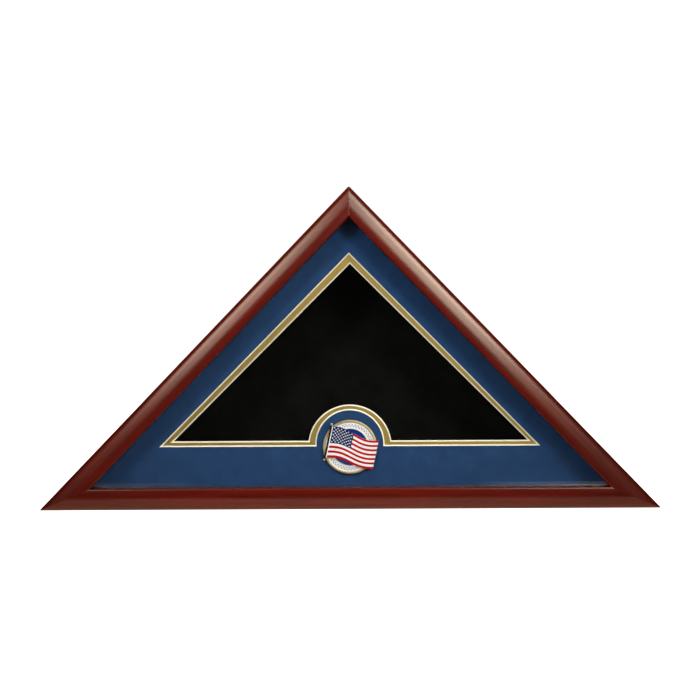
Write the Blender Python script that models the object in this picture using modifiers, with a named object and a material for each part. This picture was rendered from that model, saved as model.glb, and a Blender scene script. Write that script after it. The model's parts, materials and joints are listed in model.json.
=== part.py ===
"""A triangular display case for a folded flag: mahogany mouldings, a glazed front, two mats and a medallion.

The case stands on its long side. X runs to the right, Y from the glazed front to the back, and Z up. The
origin is the middle of the underside of the whole bounding box. Every dimension is in metres.
"""

import math

import bmesh
import bpy
from mathutils import Matrix, Vector

# Triangle of the case's outer faces, as if its corners were sharp.
WIDTH = 0.6604
APEX_HALF_ANGLE = math.radians(43.87)
HEIGHT = WIDTH / 2 / math.tan(APEX_HALF_ANGLE)
BASE_ANGLE = math.pi / 2 - APEX_HALF_ANGLE
SLOPE_LENGTH = WIDTH / 2 / math.sin(APEX_HALF_ANGLE)
CORNER_EASE = 0.0012

# Moulding.
CASE_DEPTH = 0.1143
FACE_WIDTH = 0.0235
LIP_DEPTH = 0.012
WALL = 0.019
REAR_EDGE = 0.013
REBATE_DEPTH = 0.0065
REAR_CHAMFER = 0.001
FACE_STEP = math.radians(6)

# The moulding's face is a chain of arcs from its outer side to its inner side. For each: the radius, and the
# face's tilt in degrees where it ends. The tilt is 90 on the outer side, 0 on the crest and -90 on the
# inner side.
FACE_ARCS = (
    (0.0072, 47), (0.0115, 28), (0.0175, 14), (0.0380, -6), (0.0018, -90),
)

# Clearances. Two pieces that touch keep GAP between them, and loose panes keep EDGE_PLAY to the walls.
GAP = 0.0003
EDGE_PLAY = 0.0004

# What lies behind the lip, by thickness.
GLASS = 0.002
SPACER = 0.013
SPACER_WIDTH = 0.0038
MAT = 0.0015
MAT_BEVEL = 0.00135
STOP_SIZE = 0.008
FELT = 0.001
PANEL = 0.0047
NOTCH_HALF_WIDTH = 0.011
NOTCH_HEIGHT = 0.0048
SHARP_TIP_CUT = 0.008

# Windows of the two mats: the apex, the foot line, half the foot's width, how far the triangle is off the
# middle, and the arch over the medallion.
BLUE_WINDOW = {
    "apex": 0.2713, "foot": 0.0664, "half": 0.2012, "shift": -0.0002,
    "arch_z": 0.0679, "arch_r": 0.0372,
}
GOLD_WINDOW = {
    "apex": 0.2612, "foot": 0.0709, "half": 0.1904, "shift": 0.0008,
    "arch_z": 0.0648, "arch_r": 0.0449,
}
ARCH_STEPS = 28

# Medallion.
MEDALLION_Z = 0.0646
COIN_RADIUS = 0.029
COIN = 0.003
RIM_INNER_RADIUS = 0.0262
RING_INNER_RADIUS = 0.0203
FIELD_RADIUS = 0.0195
ENAMEL_RECESS = 0.0009
ENAMEL = 0.0005
PAD_RADIUS = 0.020
PAD = 0.0008
ROUND_STEPS = 48

# Enamelled flag on the medallion: its four corners measured from the medallion's centre, and its waves.
HOIST_TOP = Vector((-0.0185, 0.0230))
HOIST_FOOT = Vector((-0.0259, -0.0111))
FLY_TOP = Vector((0.0308, 0.0071))
FLY_FOOT = Vector((0.0243, -0.0233))
FLAG_SAG = (-0.0017, 0.0006)
FLAG_WAVE = 0.00215
FLAG_RELIEF = 0.00035
FLAG = 0.0010
POLE_RADIUS = 0.0008
POLE_OFFSET = 0.0013
FINIAL_RADIUS = 0.0014
POLE_OVERHANG = (0.0028, 0.0035)

# Hardware on the back.
BUTTON = 0.0012
BUTTON_EYE_RADIUS = 0.0050
BUTTON_TIP_RADIUS = 0.0030
BUTTON_REACH = 0.0150
SCREW_SHANK_RADIUS = 0.0015
SCREW_LENGTH = 0.012
SCREW_HEAD_RADIUS = 0.0028
SCREW_HEAD = 0.0016
SCREW_CROSS = (0.0034, 0.0008, 0.0009)
SCREW_CLEARANCE = 0.0003
SCREW_STEPS = 20
STRAP = 0.0009
STRAP_WIDTH = 0.0075
STRAP_LENGTH = 0.019
STRAP_JOIN = 0.0042
STRAP_SCREW = 0.014
RING_WIRE_RADIUS = 0.0009
RING_HALF_WIDTH = 0.0053
RING_LEG = 0.004
RING_CORNER = 0.0014
RING_REST_ANGLE = math.radians(6)
BUMPER_RADIUS = 0.005
BUMPER_STANDOFF = 0.005
BUMPER_X = 0.245
V_NAIL_ARM = 0.0050
V_NAIL = 0.0008
V_NAIL_DEPTH = 0.008
V_NAIL_CLEARANCE = 0.0002

# Turn buttons: the share of the side's length from its first corner, and which way along the side the parked
# tip points. Tips on the sloping sides point downhill, and those on the bottom side away from each other.
BUTTON_PLACES = {
    "bottom": ((0.22, -1), (0.78, 1)),
    "right": ((0.20, -1), (0.80, -1)),
    "left": ((0.20, 1), (0.80, 1)),
}
RING_PLACE = 0.56
V_NAIL_PLACES = {"apex": (0.0062, 0.0122), "base": (0.0150, 0.0245)}

# Depth stations in Y.
FRONT_Y = -(CASE_DEPTH + BUMPER_STANDOFF) / 2
REAR_Y = FRONT_Y + CASE_DEPTH
GLASS_Y = FRONT_Y + LIP_DEPTH + GAP
SPACER_Y = GLASS_Y + GLASS + GAP
BLUE_MAT_Y = SPACER_Y + SPACER + GAP
GOLD_MAT_Y = BLUE_MAT_Y + MAT + GAP
STOP_Y = GOLD_MAT_Y + MAT + GAP
FELT_Y = REAR_Y - REBATE_DEPTH + GAP
PANEL_Y = REAR_Y - GAP - PANEL
HARDWARE_Y = REAR_Y + GAP
PAD_Y = BLUE_MAT_Y - GAP - PAD
COIN_Y = PAD_Y - GAP - COIN
ENAMEL_Y = COIN_Y + ENAMEL_RECESS - GAP - ENAMEL
FLAG_Y = COIN_Y - GAP - FLAG_RELIEF - FLAG / 2

# Facing of a piece that is drawn in its own XY plane: its Z points to the case's front, or to its back.
TO_FRONT = Matrix.Rotation(math.pi / 2, 4, "X")
TO_BACK = Matrix.Rotation(-math.pi / 2, 4, "X")


class Side:
    """One side of the triangle. Its own axes are: depth along X, inwards along Y, and its run along Z."""

    def __init__(self, name, start, end, start_half_angle, end_half_angle):
        self.name = name
        self.start = Vector((start[0], 0, start[1]))
        run = Vector((end[0], 0, end[1])) - self.start
        self.length = run.length
        self.run = run.normalized()
        self.inward = self.run.cross(Vector((0, 1, 0)))
        self.half_angles = (start_half_angle, end_half_angle)

    def matrix(self):
        axes = Matrix((Vector((0, 1, 0)), self.inward, self.run)).transposed().to_4x4()
        axes.translation = self.start + self.run * self.length / 2 + Vector((0, FRONT_Y, 0))
        return axes

    def point(self, share, inset, y):
        """The point this share of the way along the side, this far in from its outer face, at this depth."""
        flat = self.start + self.run * self.length * share + self.inward * inset
        return Vector((flat.x, y, flat.z))

    def heading(self, way):
        """The turn about Y that takes the X axis along the side, with its run for 1 or against it for -1."""
        return math.atan2(-way * self.run.z, way * self.run.x)


LEFT_CORNER = (-WIDTH / 2, 0)
RIGHT_CORNER = (WIDTH / 2, 0)
APEX = (0, HEIGHT)
SIDES = {
    "bottom": Side("bottom", LEFT_CORNER, RIGHT_CORNER, BASE_ANGLE / 2, BASE_ANGLE / 2),
    "right": Side("right", RIGHT_CORNER, APEX, BASE_ANGLE / 2, APEX_HALF_ANGLE),
    "left": Side("left", APEX, LEFT_CORNER, APEX_HALF_ANGLE, BASE_ANGLE / 2),
}


# ---------------------------------------------------------------- outlines


def arc(centre, radius, start, end, steps):
    """Points on an arc, from the start angle to the end angle in radians, both ends included."""
    angles = [start + (end - start) * i / steps for i in range(steps + 1)]
    return [(centre[0] + radius * math.cos(a), centre[1] + radius * math.sin(a)) for a in angles]


def circle(centre, radius, steps):
    return arc(centre, radius, 0, 2 * math.pi, steps)[:-1]


def triangle(inset):
    """The case's triangle moved in by this distance on every side: left corner, right corner, apex."""
    half = WIDTH / 2 - inset / math.tan(BASE_ANGLE / 2)
    return [(-half, inset), (half, inset), (0, HEIGHT - inset / math.sin(APEX_HALF_ANGLE))]


def blunted(corners, cut):
    """The outline with each corner cut off square, this far back along both of its edges."""
    points = []
    for i, corner in enumerate(corners):
        here = Vector(corner)
        for other in (corners[i - 1], corners[(i + 1) % len(corners)]):
            edge = (Vector(other) - here).normalized()
            points.append(tuple(here + edge * cut))
    return points


def window(shape):
    """A mat's window: a triangle whose foot rises in an arch over the medallion.

    Where the arch's centre is above the foot, the arch stands on short straight sides.
    """
    foot, half, shift, radius = shape["foot"], shape["half"], shape["shift"], shape["arch_r"]
    drop = foot - shape["arch_z"]
    start = math.asin(max(drop, 0) / radius)
    arch = arc((0, shape["arch_z"]), radius, math.pi - start, start, ARCH_STEPS)
    if drop < 0:
        arch = [(-radius, foot), *arch, (radius, foot)]
    return [(shift - half, foot), *arch, (shift + half, foot), (shift, shape["apex"])]


def face_points():
    """The moulding's face, as (depth behind the front, distance in from the outer face)."""
    points = [(0.0, 0.0)]
    tilt = math.pi / 2
    for radius, end_degrees in FACE_ARCS:
        end = math.radians(end_degrees)
        steps = max(1, round((tilt - end) / FACE_STEP))
        depth, inset = points[-1]
        centre = (depth + radius * math.cos(tilt), inset + radius * math.sin(tilt))
        points += arc(centre, radius, math.pi + tilt, math.pi + end, steps)[1:]
        tilt = end
    crest = min(depth for depth, _ in points)
    widest = points[-1][1]
    return [(depth - crest, inset * FACE_WIDTH / widest) for depth, inset in points]


def moulding_section():
    """The moulding's section, as (depth behind the front, distance in from the outer face)."""
    rebate_floor = CASE_DEPTH - REBATE_DEPTH
    return [
        *face_points(),
        (LIP_DEPTH, FACE_WIDTH),
        (LIP_DEPTH, WALL),
        (rebate_floor, WALL),
        (rebate_floor, REAR_EDGE),
        (CASE_DEPTH, REAR_EDGE),
        (CASE_DEPTH, REAR_CHAMFER),
        (CASE_DEPTH - REAR_CHAMFER, 0),
    ]


def box_section(front_y, depth, inset, width):
    """A rectangular section for a strip that runs inside the case."""
    near, far = front_y - FRONT_Y, front_y - FRONT_Y + depth
    return [(near, inset), (near, inset + width), (far, inset + width), (far, inset)]


def button_outline():
    """A turn button's teardrop, its eye at the origin and its tip along +X."""
    lean = math.acos((BUTTON_EYE_RADIUS - BUTTON_TIP_RADIUS) / BUTTON_REACH)
    tip = arc((BUTTON_REACH, 0), BUTTON_TIP_RADIUS, -lean, lean, 10)
    eye = arc((0, 0), BUTTON_EYE_RADIUS, lean, 2 * math.pi - lean, 20)
    return [*tip, *eye]


def v_outline(thickness):
    """A V-nail seen end on: two arms square to each other, meeting at the origin and opening along -X."""
    half = thickness / math.sqrt(2)
    arm = V_NAIL_ARM / math.sqrt(2)
    end = thickness / math.sqrt(8)
    return [
        (half, 0),
        (-arm + end, arm + end),
        (-arm - end, arm - end),
        (-half, 0),
        (-arm - end, -arm + end),
        (-arm + end, -arm - end),
    ]


def strap_outline():
    """A ring hanger's strap seen from its edge: a loop round the ring's bar, then two leaves together."""
    hole = RING_WIRE_RADIUS + SCREW_CLEARANCE
    outer = hole + STRAP
    leaf = 2 * STRAP
    loop = arc((0, outer), outer, -math.pi / 2, -math.pi * 7 / 4, 18)
    outline = [*loop, (STRAP_JOIN, leaf), (STRAP_LENGTH, leaf), (STRAP_LENGTH, 0)]
    return outline, circle((0, outer), hole, 16)


def ring_path():
    """The D-ring's centre line: its bar lies on the X axis, and its bow reaches along -Y."""
    inner = RING_HALF_WIDTH - RING_CORNER
    bow = arc((0, -RING_LEG), RING_HALF_WIDTH, 0, -math.pi, 14)
    right = arc((inner, -RING_CORNER), RING_CORNER, math.pi / 2, 0, 3)
    left = arc((-inner, -RING_CORNER), RING_CORNER, math.pi, math.pi / 2, 3)
    return [*right, *bow, *left]


def flag_point(along, down):
    """A point of the waving flag, from (0, 0) at the top of its hoist to (1, 1) at the foot of its fly."""
    top = HOIST_TOP.lerp(FLY_TOP, along)
    foot = HOIST_FOOT.lerp(FLY_FOOT, along)
    flat = top.lerp(foot, down)
    sag = FLAG_SAG[0] + (FLAG_SAG[1] - FLAG_SAG[0]) * down
    rise = sag * math.sin(math.pi * along) + FLAG_WAVE * math.sin(2 * math.pi * along)
    depth = -FLAG_RELIEF * math.sin(2 * math.pi * along + down)
    return Vector((flat.x, depth, flat.y + rise))


# ---------------------------------------------------------------- making pieces


def material(name, colour, roughness, metallic=0.0):
    made = bpy.data.materials.get(name)
    if made is None:
        made = bpy.data.materials.new(name)
        made.use_nodes = True
        shader = made.node_tree.nodes["Principled BSDF"]
        shader.inputs["Base Color"].default_value = (*colour, 1)
        shader.inputs["Roughness"].default_value = roughness
        shader.inputs["Metallic"].default_value = metallic
        made.diffuse_color = (*colour, 1)
    return made


def add_object(name, data, finish=None, matrix=None, collection="case"):
    obj = bpy.data.objects.new(name, data)
    bpy.data.collections[collection].objects.link(obj)
    if finish is not None and not data.materials:
        data.materials.append(finish)
    if matrix is not None:
        obj.matrix_world = matrix
    return obj


def outline_curve(name, outlines, thickness):
    """A flat 2D curve, filled and thickened evenly to both sides of its own XY plane."""
    curve = bpy.data.curves.new(name, "CURVE")
    curve.dimensions = "2D"
    curve.fill_mode = "BOTH"
    curve.extrude = thickness / 2
    for outline in outlines:
        spline = curve.splines.new("POLY")
        spline.points.add(len(outline) - 1)
        for point, (x, y) in zip(spline.points, outline):
            point.co = (x, y, 0, 1)
        spline.use_cyclic_u = True
    return curve


def as_mesh(obj):
    """Replaces an object by one whose mesh has its modifiers applied and its curve's caps welded."""
    bpy.context.view_layer.update()
    evaluated = obj.evaluated_get(bpy.context.evaluated_depsgraph_get())
    mesh = bpy.data.meshes.new_from_object(evaluated)
    work = bmesh.new()
    work.from_mesh(mesh)
    bmesh.ops.remove_doubles(work, verts=work.verts, dist=1e-6)
    bmesh.ops.recalc_face_normals(work, faces=work.faces)
    work.to_mesh(mesh)
    work.free()
    name, matrix, collection = obj.name, obj.matrix_world.copy(), obj.users_collection[0].name
    bpy.data.objects.remove(obj)
    made = bpy.data.objects.new(name, mesh)
    bpy.data.collections[collection].objects.link(made)
    made.matrix_world = matrix
    return made


def plate(name, outlines, front_y, thickness, finish):
    """A flat piece across the case, given by outlines in X and Z. A second outline is a hole."""
    matrix = Matrix.Translation((0, front_y + thickness / 2, 0)) @ TO_FRONT
    return add_object(name, outline_curve(name, outlines, thickness), finish, matrix)


def cut(work, point, normal):
    """Cuts off what lies past the plane, on the side its normal points to, and closes the cut."""
    everything = work.verts[:] + work.edges[:] + work.faces[:]
    made = bmesh.ops.bisect_plane(
        work, geom=everything, dist=1e-7, plane_co=point, plane_no=normal, clear_outer=True
    )
    edges = [e for e in made["geom_cut"] if isinstance(e, bmesh.types.BMEdge)]
    if edges:
        bmesh.ops.edgeloop_fill(work, edges=edges)


def mitred_strip(name, section, side, finish, eased=False):
    """A strip of this section along one side of the case, cut at both ends on the planes of the mitres."""
    bar = add_object(name, outline_curve(name, [section], side.length), finish, side.matrix())
    strip = as_mesh(bar)
    work = bmesh.new()
    work.from_mesh(strip.data)
    for end, half_angle in zip((-1, 1), side.half_angles):
        tip = Vector((0, 0, end * side.length / 2))
        into = Vector((0, math.sin(half_angle), -end * math.cos(half_angle)))
        across = Vector((0, math.cos(half_angle), end * math.sin(half_angle)))
        cut(work, tip - across * GAP / 2, across)
        if eased:
            cut(work, tip + into * CORNER_EASE, -into)
    bmesh.ops.recalc_face_normals(work, faces=work.faces)
    work.to_mesh(strip.data)
    work.free()
    return strip


def turned(name, profile, finish, matrix, steps=ROUND_STEPS, collection="case"):
    """A turned piece. Its profile runs from the top of the axis down its outer side, as (radius, height)."""
    mesh = bpy.data.meshes.new(name)
    edges = [(i, i + 1) for i in range(len(profile) - 1)]
    mesh.from_pydata([(radius, 0, height) for radius, height in profile], edges, [])
    obj = add_object(name, mesh, finish, matrix, collection)
    screw = obj.modifiers.new("Turn", "SCREW")
    screw.steps = screw.render_steps = steps
    screw.use_merge_vertices = True
    screw.merge_threshold = 1e-5
    return obj


def disc_profile(inner, outer, bottom, top):
    """The closed profile of a flat ring, or of a disc where inner is 0."""
    if inner == 0:
        return [(0, top), (outer, top), (outer, bottom), (0, bottom)]
    return [(inner, top), (outer, top), (outer, bottom), (inner, bottom), (inner, top)]


def add_cutter(name, obj):
    """Turns an object into a hidden cutter."""
    cutter = as_mesh(obj)
    cutter.name = name
    cutter.hide_render = True
    cutter.display_type = "WIRE"
    return cutter


def subtract(obj, cutter=None, collection=None):
    boolean = obj.modifiers.new("Cut", "BOOLEAN")
    boolean.operation = "DIFFERENCE"
    if collection is not None:
        boolean.operand_type = "COLLECTION"
        boolean.collection = collection
    else:
        boolean.object = cutter


# ---------------------------------------------------------------- the pieces


def build_case_walls():
    """Three mitred mouldings, each both a wall of the box and a length of its rounded front frame."""
    wood = material("mahogany", (0.13, 0.022, 0.010), 0.28)
    for side in SIDES.values():
        rail = mitred_strip(f"{side.name}_moulding", moulding_section(), side, wood, eased=True)
        subtract(rail, collection=bpy.data.collections["cutters"])


def build_v_nails():
    """Two V-nails across each mitre, driven flush into the rear edge."""
    steel = material("zinc_steel", (0.55, 0.56, 0.58), 0.35, 1.0)
    corners = {
        "left": (LEFT_CORNER, BASE_ANGLE / 2, "base"),
        "right": (RIGHT_CORNER, math.pi - BASE_ANGLE / 2, "base"),
        "apex": (APEX, -math.pi / 2, "apex"),
    }
    for corner, (tip, heading, kind) in corners.items():
        for number, distance in enumerate(V_NAIL_PLACES[kind], 1):
            x = tip[0] + distance * math.cos(heading)
            z = tip[1] + distance * math.sin(heading)
            place = Matrix.Translation((x, REAR_Y - GAP / 2 - V_NAIL_DEPTH / 2, z))
            matrix = place @ Matrix.Rotation(-heading, 4, "Y") @ TO_FRONT
            name = f"v_nail_{corner}_{number}"
            add_object(name, outline_curve(name, [v_outline(V_NAIL)], V_NAIL_DEPTH), steel, matrix)
            slot_outline = v_outline(V_NAIL + 2 * V_NAIL_CLEARANCE)
            slot_curve = outline_curve(name, [slot_outline], V_NAIL_DEPTH + 2 * V_NAIL_CLEARANCE + GAP)
            add_cutter(f"slot_{name}", add_object(name, slot_curve, None, matrix, "cutters"))


def build_glazing():
    """The pane, and the spacer strips that hold the mats back from it to make room for the medallion."""
    pane = blunted(triangle(WALL + EDGE_PLAY), SHARP_TIP_CUT)
    plate("front_glass", [pane], GLASS_Y, GLASS, material("clear_glass", (0.9, 0.93, 0.92), 0.03))
    black = material("black_plastic", (0.02, 0.02, 0.022), 0.5)
    section = box_section(SPACER_Y, SPACER, WALL + GAP, SPACER_WIDTH)
    for side in SIDES.values():
        mitred_strip(f"{side.name}_spacer", section, side, black)


def build_mat(name, shape, front_y, colour):
    """A mat board with a bevelled window."""
    board = blunted(triangle(WALL + EDGE_PLAY), SHARP_TIP_CUT)
    opening = window(shape)
    mat = as_mesh(plate(name, [board, opening], front_y, MAT, material(name, colour, 0.8)))

    def on_front_rim(vertex):
        return vertex.co.z > 0 and any((vertex.co.xy - Vector(point)).length < 1e-5 for point in opening)

    work = bmesh.new()
    work.from_mesh(mat.data)
    bmesh.ops.dissolve_limit(work, angle_limit=math.radians(1), verts=work.verts, edges=work.edges)
    rim = [edge for edge in work.edges if all(on_front_rim(vertex) for vertex in edge.verts)]
    bmesh.ops.bevel(work, geom=rim, offset=MAT_BEVEL, segments=1, affect="EDGES", clamp_overlap=False)
    bmesh.ops.recalc_face_normals(work, faces=work.faces)
    work.to_mesh(mat.data)
    work.free()


def build_mats():
    build_mat("blue_mat", BLUE_WINDOW, BLUE_MAT_Y, (0.018, 0.055, 0.135))
    build_mat("gold_mat", GOLD_WINDOW, GOLD_MAT_Y, (0.35, 0.25, 0.07))
    pine = material("stop_pine", (0.50, 0.33, 0.17), 0.7)
    section = box_section(STOP_Y, STOP_SIZE, WALL + GAP, STOP_SIZE)
    for side in SIDES.values():
        mitred_strip(f"{side.name}_mat_stop", section, side, pine)


def build_coin():
    """The medallion: an adhesive pad, a struck coin with two recessed fields, and their enamel fills."""
    brass = material("champagne_gold", (0.62, 0.47, 0.27), 0.25, 1.0)
    white = material("white_enamel", (0.80, 0.79, 0.82), 0.15)
    blue = material("blue_enamel", (0.005, 0.03, 0.22), 0.15)
    foam = material("foam_tape", (0.75, 0.74, 0.70), 0.9)
    floor = COIN - ENAMEL_RECESS
    profile = [
        (0, floor),
        (FIELD_RADIUS, floor),
        (FIELD_RADIUS, COIN - GAP),
        (RING_INNER_RADIUS, COIN - GAP),
        (RING_INNER_RADIUS, floor),
        (RIM_INNER_RADIUS, floor),
        (RIM_INNER_RADIUS, COIN - GAP),
        (RIM_INNER_RADIUS + 0.0005, COIN),
        (COIN_RADIUS - 0.0008, COIN),
        (COIN_RADIUS, COIN - 0.0009),
        (COIN_RADIUS, 0.0004),
        (COIN_RADIUS - 0.0004, 0),
        (0, 0),
    ]

    def facing_front(y):
        return Matrix.Translation((0, y, MEDALLION_Z)) @ TO_FRONT

    turned("medallion_coin", profile, brass, facing_front(COIN_Y + COIN))
    pad = disc_profile(0, PAD_RADIUS, 0, PAD)
    turned("medallion_adhesive_pad", pad, foam, facing_front(PAD_Y + PAD), 40)
    back = ENAMEL_Y + ENAMEL
    ring = disc_profile(RING_INNER_RADIUS + GAP, RIM_INNER_RADIUS - GAP, 0, ENAMEL)
    turned("medallion_white_ring", ring, white, facing_front(back))
    field = disc_profile(0, FIELD_RADIUS - GAP, 0, ENAMEL)
    turned("medallion_blue_field", field, blue, facing_front(back))


def build_flag():
    """The flag on the medallion, and the staff that it flies from."""
    mesh = bpy.data.meshes.new("medallion_flag")
    work = bmesh.new()
    bmesh.ops.create_grid(work, x_segments=20, y_segments=6, size=0.5)
    for vertex in work.verts:
        vertex.co = flag_point(vertex.co.x + 0.5, 0.5 - vertex.co.y)
    work.to_mesh(mesh)
    work.free()
    red = material("flag_enamel", (0.45, 0.02, 0.03), 0.15)
    flag = add_object("medallion_flag", mesh, red, Matrix.Translation((0, FLAG_Y, MEDALLION_Z)))
    shell = flag.modifiers.new("Thickness", "SOLIDIFY")
    shell.thickness = FLAG
    shell.offset = 0

    hoist = HOIST_TOP - HOIST_FOOT
    up = hoist.normalized()
    beside = Vector((-up.y, up.x)) * POLE_OFFSET
    foot = HOIST_FOOT + beside - up * POLE_OVERHANG[1]
    length = hoist.length + sum(POLE_OVERHANG)
    brass = material("champagne_gold", (0.62, 0.47, 0.27), 0.25, 1.0)
    knob = [(FINIAL_RADIUS * math.sin(a), length - FINIAL_RADIUS * math.cos(a))
            for a in (math.pi * (1 - i / 8) for i in range(7))]
    profile = [
        *knob,
        (POLE_RADIUS, length - 2.2 * FINIAL_RADIUS),
        (POLE_RADIUS, FINIAL_RADIUS),
        (FINIAL_RADIUS * 0.9, FINIAL_RADIUS * 0.6),
        (FINIAL_RADIUS * 0.9, 0.0002),
        (0, 0),
    ]
    lean = math.atan2(up.x, up.y)
    matrix = Matrix.Translation((foot.x, FLAG_Y, MEDALLION_Z + foot.y)) @ Matrix.Rotation(lean, 4, "Y")
    turned("medallion_flag_staff", profile, brass, matrix, 16)


def build_back():
    """The felt-lined panel that closes the case. A finger notch in its foot lies over the rebate's ledge."""
    inset = REAR_EDGE + EDGE_PLAY
    outline = blunted(triangle(inset), SHARP_TIP_CUT)
    radius = (NOTCH_HALF_WIDTH**2 + NOTCH_HEIGHT**2) / (2 * NOTCH_HEIGHT)
    reach = math.asin(NOTCH_HALF_WIDTH / radius)
    notch = arc((0, inset + NOTCH_HEIGHT - radius), radius, math.pi / 2 + reach, math.pi / 2 - reach, 12)
    fibreboard = material("fibreboard", (0.16, 0.085, 0.045), 0.75)
    felt = material("black_felt", (0.006, 0.006, 0.0055), 0.95)
    with_notch = [*outline[:2], *notch, *outline[2:]]
    plate("back_panel", [with_notch], PANEL_Y, PANEL, fibreboard)
    plate("felt_lining", [with_notch], FELT_Y, FELT, felt)


def make_screw_mesh(finish):
    """A pan-head screw with a cross recess. Its head's underside is at height 0."""
    head = SCREW_HEAD_RADIUS
    profile = [
        (0, SCREW_HEAD),
        (head * 0.55, SCREW_HEAD * 0.96),
        (head * 0.85, SCREW_HEAD * 0.72),
        (head, SCREW_HEAD * 0.3),
        (head, 0),
        (SCREW_SHANK_RADIUS, 0),
        (SCREW_SHANK_RADIUS, -SCREW_LENGTH * 0.75),
        (SCREW_SHANK_RADIUS * 0.3, -SCREW_LENGTH),
        (0, -SCREW_LENGTH),
    ]
    screw = turned("screw_pattern", profile, finish, Matrix.Identity(4), SCREW_STEPS)
    length, width, depth = SCREW_CROSS
    for turn in (0, math.pi / 2):
        mesh = bpy.data.meshes.new("recess")
        work = bmesh.new()
        bmesh.ops.create_cube(work, size=1, matrix=Matrix.Diagonal((length, width, 2 * depth, 1)))
        work.to_mesh(mesh)
        work.free()
        place = Matrix.Translation((0, 0, SCREW_HEAD)) @ Matrix.Rotation(turn, 4, "Z")
        arm = add_object("recess", mesh, None, place, "cutters")
        subtract(screw, add_cutter(f"recess_{round(math.degrees(turn))}", arm))
    pattern = as_mesh(screw)
    mesh = pattern.data
    bpy.data.objects.remove(pattern)
    for turn in (0, 90):
        bpy.data.objects.remove(bpy.data.objects[f"recess_{turn}"])
    return mesh


def add_screw(name, mesh, point):
    """A screw whose head's underside is at this point, and the pilot hole that its shank needs."""
    add_object(name, mesh, None, Matrix.Translation(point) @ TO_BACK)
    hole = disc_profile(0, SCREW_SHANK_RADIUS + SCREW_CLEARANCE, -SCREW_LENGTH - SCREW_CLEARANCE, 0)
    matrix = Matrix.Translation(point) @ TO_BACK
    return add_cutter(f"pilot_{name}", turned(name, hole, None, matrix, 16, "cutters"))


def build_turn_buttons(screw_mesh):
    """Six turn buttons, two to a side. Each is parked along its side, clear of the panel."""
    brass = material("brass_plate", (0.70, 0.50, 0.20), 0.3, 1.0)
    eye = circle((0, 0), SCREW_SHANK_RADIUS + SCREW_CLEARANCE, 16)
    mesh = outline_curve("turn_button", [button_outline(), eye], BUTTON)
    for side in SIDES.values():
        for number, (share, way) in enumerate(BUTTON_PLACES[side.name], 1):
            hub = side.point(share, REAR_EDGE / 2, HARDWARE_Y + BUTTON / 2)
            matrix = Matrix.Translation(hub) @ Matrix.Rotation(side.heading(way), 4, "Y") @ TO_FRONT
            add_object(f"turn_button_{side.name}_{number}", mesh, brass, matrix)
            head = Vector((hub.x, HARDWARE_Y + BUTTON + GAP, hub.z))
            add_screw(f"button_screw_{side.name}_{number}", screw_mesh, head)


def build_ring_hangers(screw_mesh):
    """A D-ring hanger on each sloping side. Each ring is folded down over its strap."""
    nickel = material("nickel_plate", (0.60, 0.60, 0.62), 0.25, 1.0)
    outline, hole = strap_outline()
    loop_radius = RING_WIRE_RADIUS + SCREW_CLEARANCE + STRAP
    for name in ("left", "right"):
        side = SIDES[name]
        share = RING_PLACE if name == "right" else 1 - RING_PLACE
        pivot = side.point(share, REAR_EDGE / 2, HARDWARE_Y)
        downhill = side.run if name == "left" else -side.run
        across = downhill.cross(Vector((0, 1, 0)))
        axes = Matrix((downhill, Vector((0, 1, 0)), across)).transposed().to_4x4()
        axes.translation = pivot
        strap_name = f"ring_strap_{name}"
        curve = outline_curve(strap_name, [outline, hole], STRAP_WIDTH)
        strap = as_mesh(add_object(strap_name, curve, nickel, axes))
        head = pivot + downhill * STRAP_SCREW + Vector((0, 2 * STRAP + GAP, 0))
        subtract(strap, add_screw(f"ring_screw_{name}", screw_mesh, head))

        wire = bpy.data.curves.new(f"hanging_ring_{name}", "CURVE")
        wire.dimensions = "3D"
        wire.bevel_depth = RING_WIRE_RADIUS
        wire.bevel_resolution = 2
        spline = wire.splines.new("POLY")
        path = ring_path()
        spline.points.add(len(path) - 1)
        for point, (x, y) in zip(spline.points, path):
            point.co = (x, y, 0, 1)
        spline.use_cyclic_u = True
        flat = Matrix((across, -downhill, Vector((0, 1, 0)))).transposed().to_4x4()
        flat.translation = pivot + Vector((0, loop_radius, 0))
        lifted = flat @ Matrix.Rotation(-RING_REST_ANGLE, 4, "X")
        add_object(f"hanging_ring_{name}", wire, nickel, lifted)


def build_bumpers():
    """Rubber bumpers that keep the foot of a hung case as far off the wall as its hangers do."""
    rubber = material("bumper_rubber", (0.025, 0.025, 0.025), 0.7)
    top = BUMPER_STANDOFF - GAP
    profile = [
        (0, top),
        (BUMPER_RADIUS * 0.72, top),
        (BUMPER_RADIUS * 0.82, top - 0.0004),
        (BUMPER_RADIUS, 0),
        (0, 0),
    ]
    for name, x in (("left", -BUMPER_X), ("right", BUMPER_X)):
        matrix = Matrix.Translation((x, HARDWARE_Y, REAR_EDGE / 2)) @ TO_BACK
        turned(f"wall_bumper_{name}", profile, rubber, matrix, 32)


def shade_round_pieces():
    """Smooth shading on every mesh, with edges over 40 degrees kept sharp."""
    for obj in bpy.data.collections["case"].objects:
        if obj.type == "MESH":
            obj.data.shade_smooth()
            obj.data.set_sharp_from_angle(angle=math.radians(40))


def main():
    for obj in list(bpy.data.objects):
        bpy.data.objects.remove(obj)
    for name in ("case", "cutters"):
        bpy.context.scene.collection.children.link(bpy.data.collections.new(name))
    screw_mesh = make_screw_mesh(material("zinc_steel", (0.55, 0.56, 0.58), 0.35, 1.0))
    build_turn_buttons(screw_mesh)
    build_ring_hangers(screw_mesh)
    build_v_nails()
    build_case_walls()
    build_glazing()
    build_mats()
    build_coin()
    build_flag()
    build_back()
    build_bumpers()
    shade_round_pieces()


main()
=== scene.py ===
"""The looks of a triangular display case for a folded flag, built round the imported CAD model.

The case's own frame: X to the right, Y from the glazed front to the back, Z up. Every size is in metres.
"""

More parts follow.
